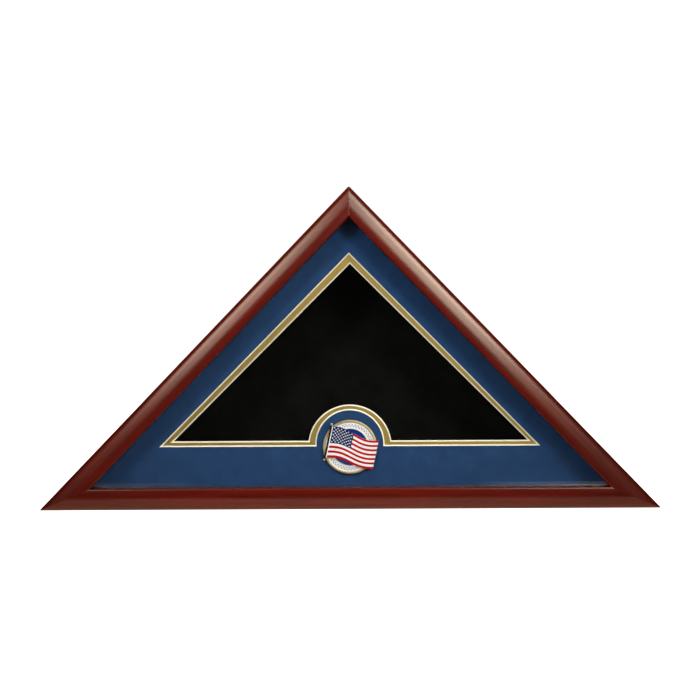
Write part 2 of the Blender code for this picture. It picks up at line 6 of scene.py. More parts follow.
import json
from math import acos, asin, atan2, cos, pi, radians, sin, tan

import bmesh
import bpy
from mathutils import Matrix, Vector


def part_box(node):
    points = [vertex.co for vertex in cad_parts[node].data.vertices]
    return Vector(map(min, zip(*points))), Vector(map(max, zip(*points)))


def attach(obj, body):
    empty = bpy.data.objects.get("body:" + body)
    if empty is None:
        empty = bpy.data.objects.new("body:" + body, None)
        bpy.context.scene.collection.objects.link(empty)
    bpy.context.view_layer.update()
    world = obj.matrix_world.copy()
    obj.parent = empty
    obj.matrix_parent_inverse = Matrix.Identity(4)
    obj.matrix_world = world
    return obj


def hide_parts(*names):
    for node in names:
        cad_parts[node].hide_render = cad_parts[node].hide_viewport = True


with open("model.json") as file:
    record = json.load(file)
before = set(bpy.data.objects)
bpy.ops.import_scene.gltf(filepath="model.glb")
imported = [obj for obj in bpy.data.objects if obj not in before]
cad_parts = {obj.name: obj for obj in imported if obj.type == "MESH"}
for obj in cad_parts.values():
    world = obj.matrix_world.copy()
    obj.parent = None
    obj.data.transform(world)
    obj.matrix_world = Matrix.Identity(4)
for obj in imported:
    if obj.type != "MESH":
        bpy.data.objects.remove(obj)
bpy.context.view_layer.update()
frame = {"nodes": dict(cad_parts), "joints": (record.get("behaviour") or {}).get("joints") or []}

# The case's triangle with sharp corners, its moulding's section, the fit of the flat triangles inside it, and
# two tolerances.
WIDTH = 0.6604
APEX_HALF_ANGLE = radians(43.87)
BASE_ANGLE = pi / 2 - APEX_HALF_ANGLE
HEIGHT = WIDTH / 2 / tan(APEX_HALF_ANGLE)
CORNER_EASE = 0.0012
FACE_WIDTH = 0.0235
SHOULDER_DEPTH = 0.0092
LIP_DEPTH = 0.012
WALL = 0.019
REAR_EDGE = 0.013
REBATE_DEPTH = 0.0065
EDGE_PLAY = 0.0004
TIP_CUT = 0.008
WELD = 1e-6
NEARLY = 1e-9

# Camera: the width seen at the mouldings' shoulders and the point there at the picture's centre, the eye's
# height and its distance from the shoulders, and the camera's roll.
VIEW_WIDTH = 0.7428
VIEW_CENTRE = (0.0007, 0.1689)
EYE_HEIGHT = 0.205
EYE_DISTANCE = 1.5
ROLL = radians(0.27)
SENSOR = 0.036

FRONT_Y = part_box("bottom_moulding")[0].y
REAR_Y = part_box("bottom_moulding")[1].y
CASE_DEPTH = REAR_Y - FRONT_Y


# ---- outlines


def sweep(total, steps):
    """Angles from nothing to the total, in equal steps, both ends included."""
    return [total * i / steps for i in range(steps + 1)]


def arc(centre, radius, start, end, steps):
    """Points on an arc, from the start angle to the end angle in radians, both ends included."""
    angles = [start + angle for angle in sweep(end - start, steps)]
    return [(centre[0] + radius * cos(a), centre[1] + radius * sin(a)) for a in angles]


def circle(centre, radius, steps):
    """Points round a whole circle, the first one not repeated."""
    return arc(centre, radius, 0, 2 * pi, steps)[:-1]


def looped(points):
    """Each point with the one after it, the last with the first."""
    return zip(points, points[1:] + points[:1])


def triangle(inset):
    """The case's triangle moved in by this distance on every side: left corner, right corner, apex."""
    half = WIDTH / 2 - inset / tan(BASE_ANGLE / 2)
    return [(-half, inset), (half, inset), (0, HEIGHT - inset / sin(APEX_HALF_ANGLE))]


def blunted(corners, cut):
    """The outline with each corner cut off square, this far back along both of its edges."""
    points = []
    for i, corner in enumerate(corners):
        here = Vector(corner)
        for other in (corners[i - 1], corners[(i + 1) % len(corners)]):
            edge = (Vector(other) - here).normalized()
            points.append(tuple(here + edge * cut))
    return points


# ---- materials


class Finish:
    """One procedural material, with short ways to add and join its nodes."""

    def __init__(self, name, **shader_values):
        self.material = bpy.data.materials.new(name)
        self.material.use_nodes = True
        self.tree = self.material.node_tree
        self.shader = self.tree.nodes["Principled BSDF"]
        self.set(**shader_values)

    def set(self, **values):
        """Sets the shader's inputs, named in lower case with underscores."""
        for name, value in values.items():
            self.put(self.shader.inputs[name.replace("_", " ").title().replace("Ior", "IOR")], value)

    def put(self, socket, value):
        """Joins a socket to another one, or gives it a constant value."""
        if isinstance(value, bpy.types.NodeSocket):
            self.tree.links.new(value, socket)
        elif isinstance(value, tuple) and len(value) == 3 and socket.type == "RGBA":
            socket.default_value = (*value, 1)
        else:
            socket.default_value = value

    def add(self, kind, inputs, **settings):
        """A new shader node of this kind, with these inputs and settings."""
        node = self.tree.nodes.new("ShaderNode" + kind)
        for name, value in settings.items():
            setattr(node, name, value)
        for name, value in inputs.items():
            self.put(node.inputs[name], value)
        return node

    def place(self, stretch=(1, 1, 1), turn=(0, 0, 0), source="Object"):
        """Coordinates in metres, multiplied by stretch. The source is Object, or UV on a piece with a map."""
        coordinates = self.add("TexCoord", {}).outputs[source]
        mapping = self.add("Mapping", {"Vector": coordinates, "Scale": stretch, "Rotation": turn})
        return mapping.outputs["Vector"]

    def noise(self, vector, scale, detail=3.0, roughness=0.55, distortion=0.0):
        inputs = {"Vector": vector, "Scale": scale, "Detail": detail, "Roughness": roughness,
                  "Distortion": distortion}
        return self.add("TexNoise", inputs).outputs["Fac"]

    def band(self, value, low, high, start=0.0, end=1.0):
        """Maps value smoothly from low..high to start..end, and holds it outside."""
        inputs = {"Value": value, "From Min": low, "From Max": high, "To Min": start, "To Max": end}
        return self.add("MapRange", inputs, interpolation_type="SMOOTHSTEP").outputs["Result"]

    def math(self, operation, first, second=0.0):
        node = self.add("Math", {}, operation=operation)
        self.put(node.inputs[0], first)
        self.put(node.inputs[1], second)
        return node.outputs[0]

    def mix(self, share, first, second):
        node = self.add("Mix", {}, data_type="RGBA")
        self.put(node.inputs["Factor"], share)
        self.put(node.inputs[6], first)
        self.put(node.inputs[7], second)
        return node.outputs[2]

    def blend(self, field, low, high, first, second, most=1.0):
        """The first colour, turning into the second as the field goes from low to high."""
        return self.mix(self.band(field, low, high, 0.0, most), first, second)

    def bump(self, height, distance, strength=1.0, after=None):
        inputs = {"Height": height, "Distance": distance, "Strength": strength}
        if after is not None:
            inputs["Normal"] = after
        return self.add("Bump", inputs).outputs["Normal"]


def scaled(colour, factor):
    return tuple(channel * factor for channel in colour)


def mahogany():
    """Dark red stained mahogany under satin lacquer. The UV map runs along the grain in U, in metres."""
    wood = Finish("mahogany", roughness=0.5, specular_ior_level=0.0)
    wood.set(coat_weight=1.0, coat_roughness=0.235, coat_ior=1.45)
    figure = wood.noise(wood.place((9, 190, 1), source="UV"), 1.0, 4, 0.6, 0.6)
    fibre = wood.noise(wood.place((60, 2600, 1), source="UV"), 1.0, 3, 0.6)
    tone = wood.blend(figure, 0.30, 0.72, (0.070, 0.0023, 0.0005), (0.136, 0.0045, 0.0009))
    streaked = wood.blend(fibre, 0.35, 0.75, tone, (0.188, 0.0082, 0.0016), 0.45)
    pore_field = wood.noise(wood.place((220, 3600, 1), source="UV"), 1.0, 2, 0.5)
    pores = wood.band(pore_field, 0.63, 0.70)
    wood.set(base_color=wood.mix(wood.math("MULTIPLY", pores, 0.7), streaked, (0.012, 0.0015, 0.0008)))
    grain = wood.bump(wood.math("SUBTRACT", fibre, pores), 0.00005, 0.5)
    wood.set(normal=grain)
    orange_peel = wood.noise(wood.place(), 260, 2, 0.5)
    wood.set(coat_normal=wood.bump(orange_peel, 0.00006, 0.25, wood.bump(pores, -0.00002, 0.2)))
    return wood.material


def paper(name, colour, shade, fibre_depth=0.00002):
    """A matt paper face with fine fibres and a slight unevenness of colour."""
    face = Finish(name, roughness=0.85, specular_ior_level=0.12)
    cloud = face.noise(face.place(), 55, 4, 0.6)
    fibre = face.noise(face.place(), 2600, 3, 0.7)
    tone = face.blend(cloud, 0.3, 0.7, shade, colour)
    speck = face.blend(fibre, 0.35, 0.8, tone, scaled(colour, 1.35), 0.35)
    face.set(base_color=speck, normal=face.bump(fibre, fibre_depth, 0.6))
    return face.material


def gold_foil():
    """Metallic gold paper, pressed with a fine twill of crossing lines."""
    foil = Finish("gold_foil_paper", metallic=0.80, roughness=0.32)
    lines = []
    for turn in (radians(57), radians(-57)):
        vector = foil.place(turn=(0, turn, 0))
        wave = foil.add("TexWave", {"Vector": vector, "Scale": 420.0, "Distortion": 0.6}, bands_direction="X")
        lines.append(wave.outputs["Fac"])
    weave = foil.math("MAXIMUM", *lines)
    fleck = foil.noise(foil.place(), 1500, 3, 0.6)
    tone = foil.blend(weave, 0.2, 0.9, (0.36, 0.250, 0.062), (0.56, 0.405, 0.120))
    foil.set(base_color=foil.blend(fleck, 0.4, 0.75, tone, (0.66, 0.51, 0.20), 0.4))
    foil.set(normal=foil.bump(foil.math("ADD", weave, fleck), 0.00005, 0.7))
    return foil.material


def felt():
    """Short-napped black felt."""
    nap = Finish("black_felt", roughness=1.0, specular_ior_level=0.0, sheen_weight=0.02, sheen_roughness=0.6)
    fuzz = nap.noise(nap.place(), 900, 5, 0.75, 0.6)
    cloud = nap.noise(nap.place(), 30, 3, 0.6)
    tone = nap.blend(cloud, 0.3, 0.7, (0.0030, 0.0030, 0.0026), (0.0052, 0.0052, 0.0044))
    nap.set(base_color=nap.blend(fuzz, 0.5, 0.8, tone, (0.012, 0.012, 0.010), 0.5))
    nap.set(normal=nap.bump(fuzz, 0.0004, 0.8))
    return nap.material


def glass():
    """Clear picture glass. It casts no shadow, so that the lamps light what is behind it."""
    pane = Finish("picture_glass", roughness=0.0, transmission_weight=1.0, ior=1.45)
    smear = pane.noise(pane.place((3, 3, 9)), 3, 4, 0.6)
    pane.set(base_color=pane.blend(smear, 0.3, 0.7, (0.985, 0.995, 0.99), (1.0, 1.0, 1.0)))
    return pane.material


def metal(name, colour, dull, roughness=0.25, scratch=0.35, grain=(40, 40, 40)):
    """Plated or polished metal with faint scratches and slightly uneven tarnish."""
    plate = Finish(name, metallic=1.0)
    cloud = plate.noise(plate.place(), 160, 3, 0.6)
    fine = plate.noise(plate.place(grain), 55, 3, 0.7)
    plate.set(base_color=plate.blend(cloud, 0.35, 0.75, colour, dull))
    plate.set(roughness=plate.band(fine, 0.2, 0.8, roughness * 0.7, roughness * 1.4))
    plate.set(normal=plate.bump(fine, 0.00002, scratch))
    return plate.material


def enamel(name, colour, shade):
    """Hard glossy enamel, poured a little unevenly."""
    fill = Finish(name, roughness=0.22, coat_weight=1.0, coat_roughness=0.04)
    cloud = fill.noise(fill.place(), 420, 3, 0.6)
    fill.set(base_color=fill.blend(cloud, 0.35, 0.7, shade, colour))
    fill.set(normal=fill.bump(fill.noise(fill.place(), 700, 2, 0.5), 0.00003, 0.4))
    return fill.material


def plain_wood(name, light, dark, grain=(6, 260, 260), roughness=0.62):
    """Bare or sealed wood-based board, its grain along X."""
    wood = Finish(name, roughness=roughness)
    figure = wood.noise(wood.place(grain), 1.0, 4, 0.6, 0.4)
    speck = wood.noise(wood.place(), 1900, 3, 0.7)
    tone = wood.blend(figure, 0.3, 0.7, dark, light)
    wood.set(base_color=wood.blend(speck, 0.55, 0.8, tone, scaled(dark, 0.45), 0.55))
    wood.set(normal=wood.bump(speck, 0.00004, 0.5))
    return wood.material


def rubber(name="bumper_rubber", colour=(0.020, 0.020, 0.021)):
    """Moulded black rubber or plastic with a fine matt grain."""
    skin = Finish(name, roughness=0.6)
    grain = skin.noise(skin.place(), 2400, 2, 0.6)
    skin.set(base_color=skin.blend(grain, 0.35, 0.7, colour, scaled(colour, 1.8)))
    skin.set(normal=skin.bump(grain, 0.00003, 0.5))
    return skin.material


# ---- mesh helpers


def link(name, data):
    """A new object with this data, linked to the scene."""
    thing = bpy.data.objects.new(name, data)
    bpy.context.scene.collection.objects.link(thing)
    return thing


def add_piece(name, data, materials, body, replaces=(), matrix=None):
    """Links an object, gives it its materials, and makes it ride on its body."""
    piece = link(name, data)
    for one in materials if not len(data.materials) else ():
        data.materials.append(one)
    if matrix is not None:
        piece.matrix_world = matrix
    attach(piece, body)
    if replaces:
        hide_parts(*replaces)
    return piece


def show_node(node, mesh, finishes, matrix=None, body="case"):
    """The visual piece that replaces one CAD node."""
    return add_piece(f"{node}_visual", mesh, finishes, body, [node], matrix)


def middle(node):
    """The centre of a CAD node's box."""
    low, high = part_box(node)
    return (low + high) / 2


def smooth(mesh, angle=35):
    """Smooth shading, but for edges that turn by more than this angle in degrees."""
    mesh.shade_smooth()
    mesh.set_sharp_from_angle(angle=radians(angle))


def write_mesh(work, name, angle=35):
    """The finished mesh of the work. Its faces point out, and it is smoothed unless the angle is None."""
    mesh = bpy.data.meshes.new(name)
    bmesh.ops.recalc_face_normals(work, faces=work.faces)
    work.to_mesh(mesh)
    work.free()
    if angle is not None:
        smooth(mesh, angle)
    return mesh


def add_loop(curve, points):
    """Adds a closed polyline through flat points to a curve."""
    spline = curve.splines.new("POLY")
    spline.points.add(len(points) - 1)
    for point, (x, y) in zip(spline.points, points):
        point.co = (x, y, 0, 1)
    spline.use_cyclic_u = True


def curve_mesh(name, outlines, thickness, bevel=0.0):
    """A closed mesh of a flat outline, centred on its own XY plane, its edges rounded within the outline."""
    curve = bpy.data.curves.new(name, "CURVE")
    curve.dimensions = "2D"
    curve.fill_mode = "BOTH"
    curve.extrude = thickness / 2 - bevel
    curve.bevel_depth = bevel
    curve.bevel_resolution = 2
    curve.offset = -bevel
    for outline in outlines:
        add_loop(curve, outline)
    return mesh_from(name, curve)


def evaluated_mesh(thing):
    """A new mesh of an object as its modifiers or its curve settings make it."""
    bpy.context.view_layer.update()
    graph = bpy.context.evaluated_depsgraph_get()
    return bpy.data.meshes.new_from_object(thing.evaluated_get(graph))


def mesh_from(name, curve):
    """The mesh of a curve, welded, with its faces pointing out."""
    source = link(name, curve)
    shape = evaluated_mesh(source)
    bpy.data.objects.remove(source)
    work = bmesh.new()
    work.from_mesh(shape)
    bpy.data.meshes.remove(shape)
    bmesh.ops.remove_doubles(work, verts=work.verts, dist=WELD)
    return write_mesh(work, name)


def revolve(name, profile, steps=96):
    """A solid turned about its own Z axis. The profile, as (radius, height), starts and ends on the axis,
    or is a closed loop off it."""
    work = bmesh.new()
    on_axis = profile[0][0] == 0
    rings = []
    for radius, height in profile:
        outline = [(0, 0)] if radius == 0 else circle((0, 0), radius, steps)
        rings.append([work.verts.new((x, y, height)) for x, y in outline])
    pairs = zip(rings, rings[1:]) if on_axis else looped(rings)
    for upper, lower in pairs:
        for i in range(steps):
            j = (i + 1) % steps
            spots = ((upper, i), (lower, i), (lower, j), (upper, j))
            corners = [ring[k % len(ring)] for ring, k in spots]
            work.faces.new(list(dict.fromkeys(corners)))
    return write_mesh(work, name)


TO_FRONT = Matrix.Rotation(pi / 2, 4, "X")
TO_BACK = Matrix.Rotation(-pi / 2, 4, "X")


# ---- mouldings


class Side:
    """One side of the triangle: where it starts, its run, and the inward direction across it."""

    def __init__(self, start, end, start_half_angle, end_half_angle):
        self.start = Vector((start[0], 0, start[1]))
        run = Vector((end[0], 0, end[1])) - self.start
        self.length = run.length
        self.run = run.normalized()
        self.inward = self.run.cross(Vector((0, 1, 0)))
        self.half_angles = (start_half_angle, end_half_angle)

    def point(self, along, inset, y):
        """A point of the side, at this depth behind the case's origin."""
        flat = self.start + self.run * along + self.inward * inset
        return Vector((flat.x, y, flat.z))

    def end_along(self, end, inset, gap):
        """How far along the side a line at this inset meets the mitre, or the eased tip outside it."""
        half_angle = self.half_angles[end]
        mitre = inset / tan(half_angle) + gap / 2 / sin(half_angle)
        tip = (CORNER_EASE - inset * sin(half_angle)) / cos(half_angle)
        reach = max(mitre, tip)
        return reach if end == 0 else self.length - reach


LEFT_CORNER = (-WIDTH / 2, 0)
RIGHT_CORNER = (WIDTH / 2, 0)
APEX = (0, HEIGHT)
SIDES = {
    "bottom": Side(LEFT_CORNER, RIGHT_CORNER, BASE_ANGLE / 2, BASE_ANGLE / 2),
    "right": Side(RIGHT_CORNER, APEX, BASE_ANGLE / 2, APEX_HALF_ANGLE),
    "left": Side(APEX, LEFT_CORNER, APEX_HALF_ANGLE, BASE_ANGLE / 2),
}
# The moulding's face is a chain of arcs from its outer side to its inner side. For each: the radius, and the
# face's tilt in degrees where it ends. The tilt is 90 on the outer side, 0 on the crest and -90 on the
# inner side.
FACE_ARCS = ((0.0072, 47), (0.0115, 28), (0.0175, 14), (0.0380, -6), (0.0018, -90))
FACE_STEP = radians(1.8)
ARRIS = 0.0004
REAR_ARRIS = 0.0010
MITRE_GAP = 0.00003
MITRE_ARRIS = 0.00006
END_STATION = 0.004
OUTER_SIDE_GRAIN = 0.1


def rounded(corner, before, after, radius, steps=4):
    """A small round at a section's corner, between the points before and after it."""
    corner, before, after = Vector(corner), Vector(before), Vector(after)
    start = corner + (before - corner).normalized() * radius
    end = corner + (after - corner).normalized() * radius
    shares = [i / steps for i in range(steps + 1)]
    return [tuple(start * (1 - t) ** 2 + corner * 2 * t * (1 - t) + end * t**2) for t in shares]


def face_points():
    """The moulding's face, as (depth behind the front, distance in from the outer face)."""
    points = [(0.0, 0.0)]
    tilt = pi / 2
    for radius, end_degrees in FACE_ARCS:
        end = radians(end_degrees)
        steps = max(1, round((tilt - end) / FACE_STEP))
        depth, inset = points[-1]
        centre = (depth + radius * cos(tilt), inset + radius * sin(tilt))
        points += arc(centre, radius, pi + tilt, pi + end, steps)[1:]
        tilt = end
    crest = min(depth for depth, _ in points)
    widest = points[-1][1]
    return [(depth - crest, inset * FACE_WIDTH / widest) for depth, inset in points]


def moulding_section():
    """The moulding's section, as (depth behind the front, distance in from the outer face)."""
    face = face_points()
    floor = CASE_DEPTH - REBATE_DEPTH
    lip, throat = (LIP_DEPTH, FACE_WIDTH), (LIP_DEPTH, WALL)
    ledge, nook = (floor, WALL), (floor, REAR_EDGE)
    inner, outer = (CASE_DEPTH, REAR_EDGE), (CASE_DEPTH, 0)
    return [
        *face,
        *rounded(lip, face[-1], throat, ARRIS),
        throat,
        *rounded(ledge, throat, nook, ARRIS),
        nook,
        *rounded(inner, nook, outer, ARRIS),
        *rounded(outer, inner, face[0], REAR_ARRIS),
    ]


def shrink_section(section, distance):
    """The section with every point moved inwards by this distance."""
    moved = []
    for i, point in enumerate(section):
        here = Vector(point)
        before, after = Vector(section[i - 1]), Vector(section[(i + 1) % len(section)])
        tangent = (after - before).normalized()
        moved.append(tuple(here + Vector((-tangent.y, tangent.x)) * distance))
    return moved


def with_points_at(section, inset):
    """The section with a point on its front and one on its rear at this distance in from the outer face."""
    points = []
    for before, after in looped(section):
        points.append(before)
        if (before[1] - inset) * (after[1] - inset) < 0:
            share = (inset - before[1]) / (after[1] - before[1])
            points.append((before[0] + (after[0] - before[0]) * share, inset))
    return points


def girth_marks(section):
    """How far round the section each of its points lies, from the first one."""
    girth = [0.0]
    for before, after in zip(section, section[1:]):
        girth.append(girth[-1] + (Vector(after) - Vector(before)).length)
    return girth


def moulding_stations():
    """The section's places on a side: an end and a distance from it, or None and a share."""
    near = [0.0, MITRE_ARRIS, 2 * MITRE_ARRIS, END_STATION]
    stations = [(0, offset) for offset in near]
    stations += [(None, 1 / 3), (None, 2 / 3)]
    return stations + [(1, offset) for offset in reversed(near)]


def moulding_rings(work, side, section, girth):
    """The section's vertices at each station, each with its place on the grain's map."""
    end_section = shrink_section(section, -MITRE_ARRIS / 2)
    rings = []
    for end, offset in moulding_stations():
        ring = []
        shape = end_section if end is not None and offset == 0.0 else section
        for (depth, inset), around in zip(shape, girth):
            start = side.end_along(0, inset, MITRE_GAP)
            stop = side.end_along(1, inset, MITRE_GAP)
            if end is None:
                along = start + (stop - start) * offset
            else:
                along = start + offset if end == 0 else stop - offset
            vertex = work.verts.new(side.point(along, inset, FRONT_Y + depth))
            ring.append((vertex, (along, around)))
        rings.append(ring)
    return rings


def skin_moulding(work, rings, uv, whole_girth):
    """The faces between the rings. The grain map's seam is at the section's first point."""
    for ring, following in zip(rings, rings[1:]):
        seam = (ring[0][0], following[0][0])
        for i in range(len(ring)):
            j = (i + 1) % len(ring)
            quad = [ring[i], ring[j], following[j], following[i]]
            face = work.faces.new([vertex for vertex, _ in quad])
            for loop, (_, (along, around)) in zip(face.loops, quad):
                past_seam = j == 0 and loop.vert in seam
                loop[uv].uv = (along, whole_girth if past_seam else around)


def cap_moulding(work, rings, uv, section, tips):
    """The end faces, each split where the mitre meets the eased tip, so that its parts are flat."""
    for ring, tip in zip((rings[0], rings[-1]), tips):
        cap = work.faces.new([vertex for vertex, _ in ring])
        for loop in cap.loops:
            loop[uv].uv = (loop.vert.co.x, loop.vert.co.y)
        ends = [vertex for (vertex, _), (_, inset) in zip(ring, section) if abs(inset - tip) < NEARLY]
        bmesh.utils.face_split(cap, *ends)


def build_moulding(name, side, wood):
    """A moulding swept along its side between its mitres, with a fine arris at each mitre."""
    section = moulding_section()
    tips = [CORNER_EASE * sin(half_angle) for half_angle in side.half_angles]
    for tip in tips:
        section = with_points_at(section, tip)
    girth = girth_marks(section)
    work = bmesh.new()
    uv = work.loops.layers.uv.new("grain")
    rings = moulding_rings(work, side, section, girth)
    skin_moulding(work, rings, uv, girth[-1] + OUTER_SIDE_GRAIN)
    cap_moulding(work, rings, uv, section, tips)
    show_node(name, write_mesh(work, name, 40), [wood])


# ---- mats

# Each mat's window: the heights of its apex and foot, half its width at the foot, how far it is off the
# middle, and its arch's centre height and radius.
WINDOW_TERMS = ("apex", "foot", "half", "shift", "arch_z", "arch_r")
BLUE_WINDOW = dict(zip(WINDOW_TERMS, (0.2713, 0.0664, 0.2012, -0.0002, 0.0679, 0.0372)))
GOLD_WINDOW = dict(zip(WINDOW_TERMS, (0.2612, 0.0709, 0.1904, 0.0008, 0.0648, 0.0449)))
MAT_BEVEL = 0.00135
ARCH_STEPS = 96


def window(shape):
    """A mat's window: a triangle whose foot rises in an arch over the medallion."""
    foot, half, shift, radius = shape["foot"], shape["half"], shape["shift"], shape["arch_r"]
    drop = foot - shape["arch_z"]
    start = asin(max(drop, 0) / radius)
    arch = arc((0, shape["arch_z"]), radius, pi - start, start, ARCH_STEPS)
    if drop < 0:
        arch = [(-radius, foot), *arch, (radius, foot)]
    return [(shift - half, foot), *arch, (shift + half, foot), (shift, shape["apex"])]


def build_mat(name, shape, face, core):
    """A mat board: a printed face, a cream core that shows in the bevel, and a cream back."""
    low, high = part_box(name)
    thickness = high.y - low.y
    board = blunted(triangle(WALL + EDGE_PLAY), TIP_CUT)
    opening = window(shape)
    mesh = curve_mesh(f"{name}_board", [board, opening], thickness)
    work = bmesh.new()
    work.from_mesh(mesh)
    bmesh.ops.dissolve_limit(work, angle_limit=radians(1), verts=work.verts, edges=work.edges)

    def on_front_rim(vertex):
        return vertex.co.z > 0 and any((vertex.co.xy - Vector(point)).length < 1e-5 for point in opening)

    rim = [edge for edge in work.edges if all(on_front_rim(vertex) for vertex in edge.verts)]
    bmesh.ops.bevel(work, geom=rim, offset=MAT_BEVEL, segments=1, affect="EDGES", clamp_overlap=False)
    bmesh.ops.recalc_face_normals(work, faces=work.faces)
    for facet in work.faces:
        facet.material_index = 0 if facet.normal.z > 0.99 else 1
        facet.smooth = False
    work.to_mesh(mesh)
    work.free()
    place = Matrix.Translation((0, middle(name).y, 0)) @ TO_FRONT
    show_node(name, mesh, [face, core], place)


# ---- medallion

COIN_LOW, COIN_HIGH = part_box("medallion_coin")
COIN_CENTRE = middle("medallion_coin")
# The coin's thickness and radii: of its edge, of the white ring's two edges, and of the blue field's.
COIN_RADIUS = (COIN_HIGH.x - COIN_LOW.x) / 2
COIN = COIN_HIGH.y - COIN_LOW.y
RIM_INNER = 0.0262
RING_INNER = 0.0203
FIELD_EDGE = 0.0195
RIM_RISE = 0.0008
RIM_FULLNESS = 0.55
LINE_DROP = 0.0004
LINE_RISE = 0.0003
COIN_CHAMFER = 0.0004
ENAMEL_RECESS = 0.0009
ENAMEL_TOP = 0.0004
ENAMEL_EDGE = 0.00012
LEAF_PAIRS = 44
LEAF_POINTS = 12
LEAF_HALF_LENGTH = 0.00145 / 1.1
LEAF_HALF_WIDTH = 0.00042
LEAF_HEIGHT = 0.00012
LEAF_SINK = 0.00014
LEAF_OFFSET = 0.0009
LEAF_SPLAY = radians(38)


def facing_front(y):
    """The place of a part turned about Z: on the coin's axis, with its top to the front."""
    return Matrix.Translation((COIN_CENTRE.x, y, COIN_CENTRE.z)) @ TO_FRONT


def add_turned(name, profile, steps, finish, y=COIN_HIGH.y):
    """A round part of the medallion that stands on the given depth."""
    show_node(name, revolve(name, profile, steps), [finish], facing_front(y))


def build_coin(gold):
    """The struck coin: a rolled rim, two recessed fields and the raised line between them."""
    floor = COIN - ENAMEL_RECESS
    line = (RING_INNER + FIELD_EDGE) / 2
    half_line = (RING_INNER - FIELD_EDGE) / 2
    rim = (RIM_INNER + COIN_RADIUS) / 2
    half_rim = (COIN_RADIUS - RIM_INNER) / 2
    profile = [
        (0, floor),
        (FIELD_EDGE, floor),
        *((line - half_line * cos(a), COIN - LINE_DROP + LINE_RISE * sin(a))
          for a in sweep(pi, 8)),
        (RING_INNER, floor),
        (RIM_INNER, floor),
        *((rim - half_rim * cos(a), COIN - RIM_RISE + RIM_RISE * sin(a) ** RIM_FULLNESS)
          for a in sweep(pi, 20)),
        (COIN_RADIUS, COIN_CHAMFER),
        (COIN_RADIUS - COIN_CHAMFER, 0),
        (0, 0),
    ]
    add_turned("medallion_coin", profile, 160, gold)


def build_enamels(white, blue):
    """The white ring and the blue field, each a little hollow inside its brim."""
    floor = COIN - ENAMEL_RECESS
    top = COIN - ENAMEL_TOP
    hollow = top - ENAMEL_EDGE
    brim = ENAMEL_EDGE * 3
    inner, outer = RING_INNER, RIM_INNER
    ring = [(inner, top), (inner + brim, hollow), (outer - brim, hollow), (outer, top), (outer, floor),
            (inner, floor)]
    outer = FIELD_EDGE
    field = [(0, hollow), (outer - brim, hollow), (outer, top), (outer, floor), (0, floor)]
    add_turned("medallion_white_ring", ring, 128, white)
    add_turned("medallion_blue_field", field, 128, blue)


def build_pad(foam):
    """The disc of foam tape that holds the medallion."""
    low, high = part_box("medallion_adhesive_pad")
    radius, height = (high.x - low.x) / 2, high.y - low.y
    profile = [(0, height), (radius, height), (radius, 0), (0, 0)]
    add_turned("medallion_adhesive_pad", profile, 64, foam, high.y)


def leaf(pair, side):
    """The centre and outline of a pair's inner leaf, side -1, or outer leaf, side 1."""
    angle = 2 * pi * (pair + 0.25 * side) / LEAF_PAIRS
    radius = (RING_INNER + RIM_INNER) / 2 + side * LEAF_OFFSET
    centre = Vector((cos(angle), sin(angle), 0)) * radius
    heading = angle + pi / 2 - side * LEAF_SPLAY
    lengthwise = Vector((cos(heading), sin(heading), 0))
    across = Vector((-lengthwise.y, lengthwise.x, 0))
    outline = []
    for turn in sweep(2 * pi, LEAF_POINTS)[:-1]:
        width = LEAF_HALF_WIDTH * sin(turn) * (1 - 0.35 * cos(turn))
        outline.append(centre + lengthwise * LEAF_HALF_LENGTH * cos(turn) + across * width)
    return centre, outline


def raise_form(work, outline, centre, levels):
    """A low form. The levels are the offsets to its foot, its shoulder and its crest."""
    foot, shoulder, crest = (Vector(level) for level in levels)
    lower = [work.verts.new(point + foot) for point in outline]
    upper = [work.verts.new(point + shoulder) for point in outline]
    top = work.verts.new(centre + crest)
    for i in range(len(outline)):
        j = (i + 1) % len(outline)
        work.faces.new([lower[i], lower[j], upper[j], upper[i]])
        work.faces.new([upper[i], upper[j], top])
    work.faces.new(lower[::-1])


def build_wreath(pewter):
    """A wreath of small raised leaves round the white ring, in place of an inscription."""
    work = bmesh.new()
    base = COIN - ENAMEL_TOP - LEAF_SINK
    levels = [(0, 0, base + LEAF_HEIGHT * rise) for rise in (0, 1, 1.8)]
    for pair in range(LEAF_PAIRS):
        for side in (-1, 1):
            centre, outline = leaf(pair, side)
            raise_form(work, outline, centre, levels)
    mesh = write_mesh(work, "wreath", 60)
    add_piece("medallion_wreath", mesh, [pewter], "case", (), facing_front(COIN_HIGH.y))


# The flag's four corners measured from the medallion's centre, and its waves.
HOIST_TOP = Vector((-0.0185, 0.0230))
HOIST_FOOT = Vector((-0.0259, -0.0111))
FLY_TOP = Vector((0.0308, 0.0071))
FLY_FOOT = Vector((0.0243, -0.0233))
FLAG_SAG = (-0.0017, 0.0006)
FLAG_WAVE = 0.00215
FLAG_RELIEF = 0.00035
FLAG = 0.0010
ENAMEL_ROUND = 0.02
FLAG_RED, FLAG_WHITE, FLAG_NAVY, FLAG_METAL = range(4)
STRIPES = 13
ROWS_PER_STRIPE = 3
CANTON_STRIPES = 7
CANTON_END = 0.463
HEADING = 0.018
STAR_ROWS = 9
STAR_RADIUS = 0.00094
STAR_WAIST = 0.45
STAR_LEVELS = ((0, 0.0002, 0), (0, -0.00008, 0), (0, -0.00016, 0))
POLE_RADIUS = 0.0008
POLE_OFFSET = 0.0013
FINIAL = 0.0014  # its radius
POLE_OVERHANG = (0.0028, 0.0035)


